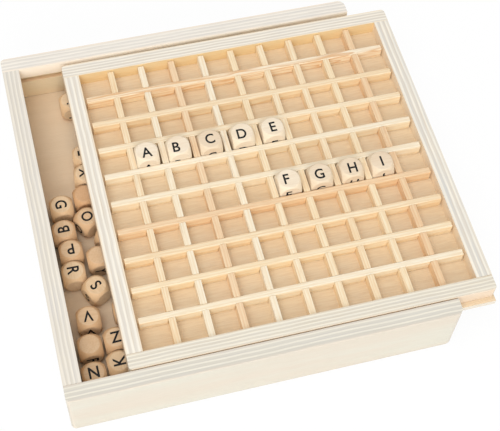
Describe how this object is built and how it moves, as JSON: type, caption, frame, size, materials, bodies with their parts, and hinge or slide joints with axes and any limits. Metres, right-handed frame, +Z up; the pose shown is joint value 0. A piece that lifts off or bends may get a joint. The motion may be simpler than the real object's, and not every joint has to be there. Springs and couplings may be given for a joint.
{
  "type": "wooden letter game",
  "caption": "Open wooden box with loose letter cubes, under a sliding tray whose grid of half-lapped strips holds a cube in each cell.",
  "frame": {"origin": "centre of the footprint of box and drawn-out tray together, at table height", "axes": "+X the way the tray is drawn out, +Y to the back, +Z up; -Y is the player's side"},
  "size_m": [0.2644, 0.2496, 0.0458],
  "materials": {
    "box_plywood": "bare birch plywood, sanded, edges showing the plies",
    "panel_plywood": "thin bare plywood, sanded",
    "frame_plywood": "bare birch plywood, sanded, edges showing the plies",
    "strip_pine": "bare planed pine with fine straight grain",
    "cube_pale": "smooth tumbled hardwood with a dull sheen, one printed letter",
    "cube_beech": "smooth tumbled hardwood with a dull sheen, one printed letter"
  },
  "bodies": {
    "box": {"front_wall": "box_plywood", "back_wall": "box_plywood", "left_wall": "box_plywood", "right_wall": "box_plywood", "bottom_panel": "panel_plywood"},
    "tray": {"tray_base": "panel_plywood", "tray_front_board": "frame_plywood", "tray_back_board": "frame_plywood", "tray_left_board": "frame_plywood", "tray_right_board": "frame_plywood", "long_strip_1": "strip_pine", "long_strip_2": "strip_pine", "long_strip_3": "strip_pine", "long_strip_4": "strip_pine", "long_strip_5": "strip_pine", "long_strip_6": "strip_pine", "long_strip_7": "strip_pine", "long_strip_8": "strip_pine", "long_strip_9": "strip_pine", "cross_strip_1": "strip_pine", "cross_strip_2": "strip_pine", "cross_strip_3": "strip_pine", "cross_strip_4": "strip_pine", "cross_strip_5": "strip_pine", "cross_strip_6": "strip_pine", "cross_strip_7": "strip_pine", "cross_strip_8": "strip_pine", "cross_strip_9": "strip_pine"},
    "tray_cube_1": {"tray_cube_1": "cube_pale"},
    "tray_cube_2": {"tray_cube_2": "cube_pale"},
    "tray_cube_3": {"tray_cube_3": "cube_pale"},
    "tray_cube_4": {"tray_cube_4": "cube_pale"},
    "tray_cube_5": {"tray_cube_5": "cube_pale"},
    "tray_cube_6": {"tray_cube_6": "cube_pale"},
    "tray_cube_7": {"tray_cube_7": "cube_pale"},
    "tray_cube_8": {"tray_cube_8": "cube_pale"},
    "tray_cube_9": {"tray_cube_9": "cube_pale"},
    "loose_cube_1": {"loose_cube_1": "cube_beech"},
    "loose_cube_2": {"loose_cube_2": "cube_beech"},
    "loose_cube_3": {"loose_cube_3": "cube_beech"},
    "loose_cube_4": {"loose_cube_4": "cube_beech"},
    "loose_cube_5": {"loose_cube_5": "cube_beech"},
    "loose_cube_6": {"loose_cube_6": "cube_beech"},
    "loose_cube_7": {"loose_cube_7": "cube_beech"},
    "loose_cube_8": {"loose_cube_8": "cube_beech"},
    "loose_cube_9": {"loose_cube_9": "cube_beech"},
    "loose_cube_10": {"loose_cube_10": "cube_beech"},
    "loose_cube_11": {"loose_cube_11": "cube_beech"},
    "loose_cube_12": {"loose_cube_12": "cube_beech"},
    "loose_cube_13": {"loose_cube_13": "cube_beech"},
    "loose_cube_14": {"loose_cube_14": "cube_beech"},
    "loose_cube_15": {"loose_cube_15": "cube_beech"},
    "loose_cube_16": {"loose_cube_16": "cube_beech"},
    "loose_cube_17": {"loose_cube_17": "cube_beech"},
    "loose_cube_18": {"loose_cube_18": "cube_beech"}
  },
  "joints": [
    {"name": "tray_slide", "type": "slide", "parent": "box", "child": "tray", "axis": [1, 0, 0], "range_m": [-0.0272, 0.15]},
    {"name": "tray_cube_1_lift", "type": "slide", "parent": "tray", "child": "tray_cube_1", "axis": [0, 0, 1], "range_m": [0, 0.03]},
    {"name": "tray_cube_2_lift", "type": "slide", "parent": "tray", "child": "tray_cube_2", "axis": [0, 0, 1], "range_m": [0, 0.03]},
    {"name": "tray_cube_3_lift", "type": "slide", "parent": "tray", "child": "tray_cube_3", "axis": [0, 0, 1], "range_m": [0, 0.03]},
    {"name": "tray_cube_4_lift", "type": "slide", "parent": "tray", "child": "tray_cube_4", "axis": [0, 0, 1], "range_m": [0, 0.03]},
    {"name": "tray_cube_5_lift", "type": "slide", "parent": "tray", "child": "tray_cube_5", "axis": [0, 0, 1], "range_m": [0, 0.03]},
    {"name": "tray_cube_6_lift", "type": "slide", "parent": "tray", "child": "tray_cube_6", "axis": [0, 0, 1], "range_m": [0, 0.03]},
    {"name": "tray_cube_7_lift", "type": "slide", "parent": "tray", "child": "tray_cube_7", "axis": [0, 0, 1], "range_m": [0, 0.03]},
    {"name": "tray_cube_8_lift", "type": "slide", "parent": "tray", "child": "tray_cube_8", "axis": [0, 0, 1], "range_m": [0, 0.03]},
    {"name": "tray_cube_9_lift", "type": "slide", "parent": "tray", "child": "tray_cube_9", "axis": [0, 0, 1], "range_m": [0, 0.03]},
    {"name": "loose_cube_1_slide", "type": "slide", "parent": "box", "child": "loose_cube_1", "axis": [1, 0, 0], "range_m": [0, 0.03]},
    {"name": "loose_cube_2_slide", "type": "slide", "parent": "box", "child": "loose_cube_2", "axis": [1, 0, 0], "range_m": [0, 0.004]},
    {"name": "loose_cube_3_slide", "type": "slide", "parent": "box", "child": "loose_cube_3", "axis": [1, 0, 0], "range_m": [0, 0.03]},
    {"name": "loose_cube_4_lift", "type": "slide", "parent": "box", "child": "loose_cube_4", "axis": [0, 0, 1], "range_m": [0, 0.045]},
    {"name": "loose_cube_5_slide", "type": "slide", "parent": "box", "child": "loose_cube_5", "axis": [1, 0, 0], "range_m": [0, 0.0012]},
    {"name": "loose_cube_6_lift", "type": "slide", "parent": "box", "child": "loose_cube_6", "axis": [0, 0, 1], "range_m": [0, 0.045]},
    {"name": "loose_cube_7_lift", "type": "slide", "parent": "box", "child": "loose_cube_7", "axis": [0, 0, 1], "range_m": [0, 0.045]},
    {"name": "loose_cube_8_slide", "type": "slide", "parent": "box", "child": "loose_cube_8", "axis": [1, 0, 0], "range_m": [0, 0.03]},
    {"name": "loose_cube_9_lift", "type": "slide", "parent": "box", "child": "loose_cube_9", "axis": [0, 0, 1], "range_m": [0, 0.045]},
    {"name": "loose_cube_10_slide", "type": "slide", "parent": "box", "child": "loose_cube_10", "axis": [0.866, -0.5, 0], "range_m": [0, 0.03]},
    {"name": "loose_cube_11_slide", "type": "slide", "parent": "box", "child": "loose_cube_11", "axis": [-0.866, -0.5, 0], "range_m": [0, 0.005]},
    {"name": "loose_cube_12_lift", "type": "slide", "parent": "box", "child": "loose_cube_12", "axis": [0, 0, 1], "range_m": [0, 0.045]},
    {"name": "loose_cube_13_slide", "type": "slide", "parent": "box", "child": "loose_cube_13", "axis": [1, 0, 0], "range_m": [0, 0.03]},
    {"name": "loose_cube_14_lift", "type": "slide", "parent": "box", "child": "loose_cube_14", "axis": [0, 0, 1], "range_m": [0, 0.045]},
    {"name": "loose_cube_15_slide", "type": "slide", "parent": "box", "child": "loose_cube_15", "axis": [1, 0, 0], "range_m": [0, 0.03]},
    {"name": "loose_cube_16_slide", "type": "slide", "parent": "box", "child": "loose_cube_16", "axis": [1, 0, 0], "range_m": [0, 0.03]},
    {"name": "loose_cube_17_lift", "type": "slide", "parent": "box", "child": "loose_cube_17", "axis": [0, 0, 1], "range_m": [0, 0.045]},
    {"name": "loose_cube_18_slide", "type": "slide", "parent": "box", "child": "loose_cube_18", "axis": [1, 0, 0], "range_m": [0, 0.03]}
  ]
}
